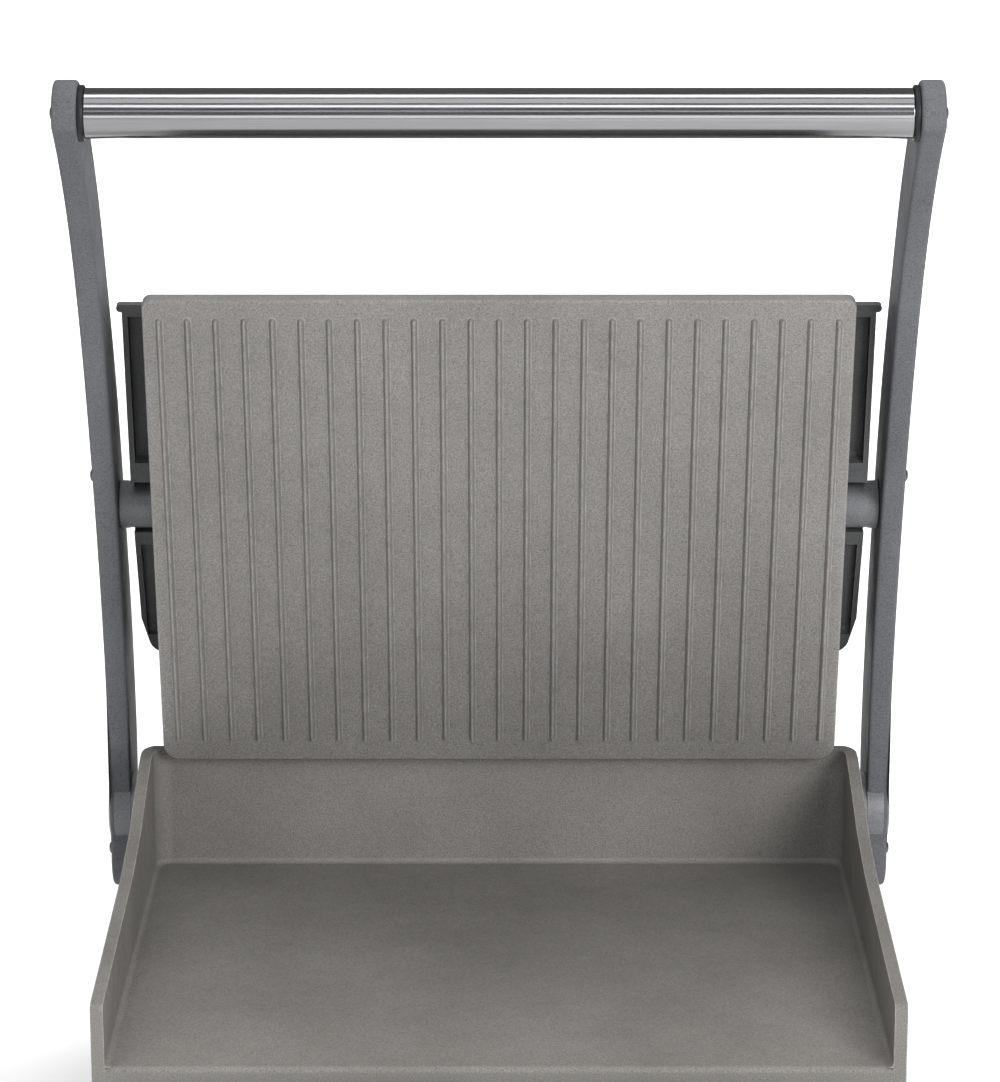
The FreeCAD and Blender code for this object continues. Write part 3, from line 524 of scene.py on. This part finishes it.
def build_boss(name, side):
    """Trunnion boss between cover and arm, with a chamfered collar."""
    low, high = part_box("trunnion_boss_" + name)
    start, end = (low.x, high.x) if side > 0 else (high.x, low.x)
    length, r = abs(end - start), (high.z - low.z) / 2
    chamfer, barrel = 0.5 * MM, r - 0.4 * MM
    bm = bmesh.new()
    profile = [(0, 0), (0, r - 1.6 * MM), (chamfer, r - 0.7 * MM), (1.6 * MM, barrel),
               (length - 6.0 * MM, barrel), (length - 4.2 * MM, r - 0.1 * MM),
               (length - 2.8 * MM, r), (length - chamfer, r), (length, r - chamfer), (length, 0)]
    lathe(bm, profile, (start, trunnion.y, trunnion.z), (side, 0, 0))
    # the boss takes the lighter copy of the arm casting's colour: painted light on the boss
    piece("boss_casting_" + name, bm, "arm_casting", "plate", ["trunnion_boss_" + name], 38,
          material=hub_casting_painted_light)


for name, side in SIDES:
    build_arm(name, side)
    build_boss(name, side)


# ------------------------------------------------------------------ screws
def button_screw(bm, centre, direction, radius, tall):
    """Domed head with a six-sided socket."""
    segments, steps, sweep = 36, 6, 75
    brim, flat = 0.15, 0.42
    sunk, lip = 0.5 * MM, 0.1 * MM
    dome = [(0.0, radius), (brim * tall, radius)]
    for i in range(1, steps + 1):
        a = math.radians(sweep * i / steps)
        rise = math.sin(a) / math.sin(math.radians(sweep))
        dome.append((tall * (brim + (1 - brim) * rise), radius * (flat + (1 - flat) * math.cos(a))))
    axis, side, other = axes(direction)
    socket, socket_floor = dome[-1][1] * 0.78, 0.35 * tall

    def ring(place, radius_at):
        made = []
        for i in range(segments):
            a = 2 * math.pi * i / segments
            r = radius_at(a)
            made.append(Vector(centre) + axis * place + (side * math.cos(a) + other * math.sin(a)) * r)
        return made

    def hexagon(a):
        return socket / math.cos((a % (math.pi / 3)) - math.pi / 6)

    rings = [ring(-sunk, lambda a: radius * 0.97)]
    rings += [ring(p, lambda a, r=r: r) for p, r in dome]
    rings += [ring(tall, lambda a: hexagon(a) * 1.04), ring(tall - lip, hexagon),
              ring(socket_floor, hexagon)]
    skin(bm, rings)


def screws(name, body, stands_for, spots, direction, radius, tall):
    """Equal button heads at these spots, as one piece."""
    bm = bmesh.new()
    for spot in spots:
        button_screw(bm, spot, direction, radius, tall)
    piece(name, bm, "screw_steel", body, stands_for, 30)


# how tall the screws' domed heads are
FASCIA_TALL, BOLT_TALL, ARM_TALL = 1.6 * MM, 2.2 * MM, 2.4 * MM
low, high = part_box("fascia_screws")
head = (high.z - low.z) / 2
fascia_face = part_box("front_fascia")[0].y
screws("fascia_screw_heads", "base", ["fascia_screws"],
       [(x, fascia_face, (low.z + high.z) / 2) for x in (low.x + head, high.x - head)],
       (0, -1, 0), head, FASCIA_TALL)
for name, side in SIDES:
    face = blade_face(name, side)
    bolt_low, bolt_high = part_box("handle_bolt_" + name)
    head = (bolt_high.z - bolt_low.z) / 2
    middle = (bolt_low + bolt_high) / 2
    screws("handle_bolt_head_" + name, "arms", ["handle_bolt_" + name],
           [(face, middle.y, middle.z)], (side, 0, 0), head, BOLT_TALL)
    pair_low, pair_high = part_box("arm_screws_" + name)
    screws("arm_screw_heads_" + name, "arms", ["arm_screws_" + name],
           [(face, pair_low.y + head, pair_high.z - head),
            (face, pair_high.y - head, pair_low.z + head)], (side, 0, 0), head, ARM_TALL)


# ------------------------------------------------------------------ handle
def build_handle():
    """The bright tube with its open ends, and the black seal at each of them."""
    low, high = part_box("handle_tube")
    r = (high.z - low.z) / 2
    centre = Vector((low.x, (low.y + high.y) / 2, (low.z + high.z) / 2))
    length = high.x - low.x
    wall, lip, bore, bands = 1.5 * MM, 0.3 * MM, 12 * MM, 24
    # the last two rings lie close to the end, so that smooth shading stays level up to it
    end = [(lip, r - wall), (0.0, r - wall + lip), (0.0, r - lip), (lip, r), (0.7 * MM, r), (1.5 * MM, r)]
    profile = both_ends(end, length, [(length * i / bands, r) for i in range(1, bands)])
    inside = [(length - bore, r - wall), (bore, r - wall), profile[0]]
    bm = bmesh.new()
    lathe(bm, profile + inside, centre, (1, 0, 0), 128)
    bmesh.ops.remove_doubles(bm, verts=bm.verts, dist=WELD)
    piece("handle_bright_tube", bm, "handle_steel", "arms", ["handle_tube"], 50)
    for name, _ in SIDES:
        a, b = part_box("handle_ring_" + name)
        thick, seal_r = b.x - a.x, (b.z - a.z) / 2
        hole, large, small = r - 2 * MM, 0.7 * MM, 0.2 * MM
        ring = both_ends([(0, hole), (0, seal_r - large), (small, seal_r - small), (large, seal_r)], thick)
        bm = bmesh.new()
        lathe(bm, ring + [(0, hole)], (a.x, centre.y, centre.z), (1, 0, 0), 72)
        bmesh.ops.remove_doubles(bm, verts=bm.verts, dist=WELD)
        piece("handle_seal_" + name, bm, "black_plastic", "arms", ["handle_ring_" + name])


build_handle()


# ------------------------------------------------------------------ feet, knob, lamps
def build_foot(name):
    """Rubber foot with two grooves round it and a recess for its screw."""
    low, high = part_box(name)
    r, tall = (high.x - low.x) / 2 / MM, (high.z - low.z) / MM
    groove, hole, recess = r - 0.7, 2.0, 6.0
    shape = [(0, 7), (0, r - 2.4), (0.4, r - 1.2), (1.6, r - 0.3), (3, r), (7, r), (7.4, groove),
             (8.6, groove), (9, r), (12, r), (12.4, groove), (13.6, groove), (14, r), (17.4, r),
             (18, r - 0.6), (18, hole), (12.2, hole), (12, recess), (0.6, 6.2), (0, 7)]
    stretch = tall / max(p for p, _ in shape)
    bm = bmesh.new()
    lathe(bm, [(p * stretch * MM, q * MM) for p, q in shape],
          ((low.x + high.x) / 2, (low.y + high.y) / 2, low.z), (0, 0, 1), 56)
    bmesh.ops.remove_doubles(bm, verts=bm.verts, dist=WELD)
    piece("rubber_" + name, bm, "foot_rubber", "base", [name])


def fluted(centre, radius, depth, count=18, points=216):
    """A round outline in the XZ plane, with smooth flutes of this depth cut into it."""
    outline = []
    for i in range(points):
        a = 2 * math.pi * i / points
        r = radius - depth * (0.5 - 0.5 * math.cos(count * a)) ** 2
        outline.append(Vector((centre.x + r * math.cos(a), centre.z + r * math.sin(a))))
    return outline


def build_knob():
    """Control knob with a plain skirt, a fluted grip, a raised pointer bar and a painted line."""
    low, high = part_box("control_knob")
    centre = (low + high) / 2
    r, deep = (high.x - low.x) / 2, high.y - low.y
    skirt_top, overlap, grip_top = 7.6 * MM, 1 * MM, 18.6 * MM
    grip_inset, flute = 3 * MM, 1.3 * MM
    bar_half, bar_reach, bar_corner = 3.2 * MM, 15 * MM, 2 * MM
    line_half, line_start, line_end, line_corner = 0.6 * MM, 3 * MM, 13 * MM, 0.5 * MM
    to_space = lambda p, y: Vector((p.x, high.y - y, p.y))
    bm = bmesh.new()
    slab(bm, fluted(centre, r - 0.01 * MM, 0.0), rounded_rim(0.0, skirt_top, 1.2 * MM, 4), to_space)
    slab(bm, fluted(centre, r - grip_inset, flute),
         rounded_rim(skirt_top - overlap, grip_top, 1.6 * MM), to_space)
    bar = rounded_box(centre.x - bar_half, centre.z - bar_reach, centre.x + bar_half,
                      centre.z + bar_reach, bar_corner)
    slab(bm, bar, rounded_rim(grip_top - overlap, deep, 1.1 * MM, 4), to_space)
    piece("knob_moulding", bm, "black_plastic", "knob", ["control_knob"])
    bm = bmesh.new()
    line = rounded_box(centre.x - line_half, centre.z + line_start, centre.x + line_half,
                       centre.z + line_end, line_corner, 4)
    slab(bm, line, [(deep - 0.4 * MM, 0.0), (deep - 0.02 * MM, 0.0), (deep - 0.005 * MM, 0.1 * MM)],
         to_space)
    piece("knob_line", bm, "white_plastic", "knob", material=dial_paint)


def build_dial():
    """Tick marks printed round the knob, growing with the heat setting."""
    low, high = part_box("control_knob")
    centre = (low + high) / 2
    r = (high.x - low.x) / 2
    count, sweep, gap, half_wide = 10, 270, 1.6 * MM, 0.5 * MM
    bm = bmesh.new()
    for i in range(count):
        a = math.radians(90 - sweep * i / (count - 1))
        tall = (1.4 + 0.16 * i) * MM
        along = Vector((math.cos(a), math.sin(a)))
        across = Vector((-along.y, along.x))
        mid = Vector((centre.x, centre.z)) + along * (r + gap + tall / 2)
        ring = [mid + along * (sx * tall / 2) + across * (sy * half_wide)
                for sx, sy in ((-1, -1), (1, -1), (1, 1), (-1, 1))]
        slab(bm, ring, [(0.1 * MM, 0.0), (-0.02 * MM, 0.0), (-0.05 * MM, 0.06 * MM)],
             lambda p, y: Vector((p.x, fascia_face + y, p.y)))
    piece("dial_ticks", bm, "black_plastic", "base")


def build_lamp(node, slot):
    """Indicator lamp: a round bezel on the fascia and a domed lens with rings moulded in it."""
    low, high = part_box(node)
    centre = (low + high) / 2
    spot, segments = (centre.x, fascia_face, centre.z), 56
    bm = bmesh.new()
    bezel = [(0.0, 7.6), (0.5, 7.6), (0.9, 7.3), (1.1, 6.7), (1.0, 5.6), (0.2, 5.3), (-1.0, 5.3),
             (-20, 5.3)]
    lathe(bm, [(p * MM, q * MM) for p, q in bezel], spot, (0, -1, 0), segments)
    piece(node + "_bezel", bm, "black_plastic", "base")
    bm = bmesh.new()
    r, base, steps, groove = 5.2 * MM, 0.4 * MM, 8, 0.12 * MM
    top = fascia_face - low.y - 0.05 * MM
    dome = [(-6 * MM, 5.25 * MM), (base, r)]
    for i in range(1, steps + 1):
        a = math.radians(90 * i / steps)
        ripple = groove if i % 2 else 0.0
        dome.append((base + (top - base) * math.sin(a) - ripple, r * math.cos(a)))
    lathe(bm, dome, spot, (0, -1, 0), segments)
    piece(node + "_lens", bm, slot, "base", [node], 70)


def build_rocker_marks():
    """A bar and a ring moulded in relief on the two halves of the rocker key."""
    bm = bmesh.new()
    pivot = Vector(joints["rocker_tilt"]["pos_m"])
    tilt = Matrix.Rotation(math.radians(-joints["rocker_tilt"]["range_deg"][1] / 2), 4, "X")
    middle, rise, run, sides = 5.0 * MM, 5.0, 11.8, 40
    slope = math.atan2(rise, run)

    def on_key(p, height):
        """A point on the key's face, which is a shallow V with its low line over the pivot."""
        z = p.y * math.cos(slope)
        y = -(middle + abs(p.y) * math.sin(slope)) - height * math.cos(slope)
        return pivot + tilt @ Vector((p.x, y, z))

    bar = rounded_box(-0.45 * MM, 4.0 * MM, 0.45 * MM, 8.0 * MM, 0.3 * MM, 3)
    slab(bm, bar, [(-0.2 * MM, 0.0), (0.12 * MM, 0.0), (0.18 * MM, 0.08 * MM)], on_key)
    # the ring's section as (radius, height over the key) in millimetres
    section = [(2.2, -0.2), (2.2, 0.14), (2.0, 0.18), (1.6, 0.18), (1.4, 0.14), (1.4, -0.2), (2.2, -0.2)]
    ring_middle = -6.0 * MM
    rings = [[on_key(Vector((r * MM * math.cos(a), ring_middle + r * MM * math.sin(a))), h * MM)
              for a in (2 * math.pi * i / sides for i in range(sides))] for r, h in section]
    skin(bm, rings, close_ends=False)
    bmesh.ops.remove_doubles(bm, verts=bm.verts, dist=WELD)
    piece("rocker_marks", bm, "white_plastic", "rocker", material=dial_paint)


for name in ("foot_fl", "foot_fr", "foot_rl", "foot_rr"):
    build_foot(name)
build_knob()
build_dial()
build_lamp("lamp_power", "lamp_green")
build_lamp("lamp_ready", "lamp_amber")
build_rocker_marks()


# ------------------------------------------------------------------ stage, lights, camera
def stage_floor():
    """A plain pale floor, large enough to fill the view behind the grill."""
    half_size, gap = 12.0, 0.1 * MM
    g = Graph("stage_floor")
    soft = g.noise(3.0)
    g.wire(Base_Color=g.mix(g.remap(soft, 0.0, 1.0), (0.93, 0.93, 0.93), (0.95, 0.95, 0.95)),
           Roughness=0.9)
    bm = bmesh.new()
    bmesh.ops.create_grid(bm, x_segments=2, y_segments=2, size=half_size)
    mesh = bpy.data.meshes.new("stage_floor")
    bm.to_mesh(mesh)
    bm.free()
    floor = linked("stage_floor", mesh)
    floor.data.materials.append(g.material)
    floor.location.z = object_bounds()[0][2] - gap
    floor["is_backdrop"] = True


def area_light(name, place, target, width, height, power):
    """A white rectangular light at a place, facing a target."""
    data = bpy.data.lights.new(name, "AREA")
    data.shape, data.size, data.size_y, data.energy = "RECTANGLE", width, height, power
    lamp = linked(name, data)
    lamp.location = place
    lamp.rotation_euler = (Vector(target) - Vector(place)).to_track_quat("-Z", "Y").to_euler()
    return lamp


# soft strips along the handle: name, height angle round it, distance, length, width, power
STRIPS = (
    ("strip_over", 93, 1.40, 0.95, 0.36, 4.6),
    ("panel_over", 66, 1.45, 0.95, 0.58, 2.2),
    ("strip_high", 40.5, 1.60, 0.95, 0.26, 3.0),
    ("strip_mid", 18, 1.90, 0.95, 0.13, 0.6),
    ("strip_low", -6.5, 1.90, 1.6, 0.36, 4.0),
)


def build_stage():
    """Floor, even grey-white surroundings, and the lights."""
    stage_floor()
    world = bpy.data.worlds.new("studio")
    bpy.context.scene.world = world
    world.use_nodes = True
    bpy.context.scene.view_settings.view_transform = "Standard"
    sky = world.node_tree.nodes["Background"]
    sky.inputs["Color"].default_value = (1.0, 1.0, 1.0, 1.0)
    sky.inputs["Strength"].default_value = 0.2
    aim = (0, 0.0, 0.25)
    area_light("key_right", (1.3, -2.05, 1.1), aim, 1.1, 1.2, 50)
    area_light("fill_left", (-1.8, -1.5, 1.2), aim, 0.7, 1.0, 9)
    handle = Vector((0, -0.017, 0.569))
    for name, angle, away, long, wide, power in STRIPS:
        turn = math.radians(angle)
        spot = handle + Vector((0, -math.cos(turn), math.sin(turn))) * away
        area_light(name, spot, handle, long, wide, power)
    # lifts the floor behind the grill to white, and leaves no mirror image of itself
    wash = area_light("floor_wash", (0.0, 3.0, 3.0), (0.0, 3.0, 0.0), 6.4, 5.2, 205)
    wash.data.spread = math.radians(105)
    wash.visible_glossy = False


def build_camera():
    """Level, straight on and looking slightly down, from where the grill fills the frame."""
    sensor, focal, down, farthest = 36.0, 134.89, 15.32, 60.0
    data = bpy.data.cameras.new("camera")
    data.sensor_fit, data.sensor_width, data.lens = "HORIZONTAL", sensor, focal
    data.clip_end = farthest
    data.shift_x, data.shift_y = 0.001, 0.0063
    camera = linked("camera", data)
    camera.location = (0.0, -1.8673, 0.8528)
    camera.rotation_euler = (math.radians(90 - down), 0, 0)
    bpy.context.scene.camera = camera


build_stage()
build_camera()
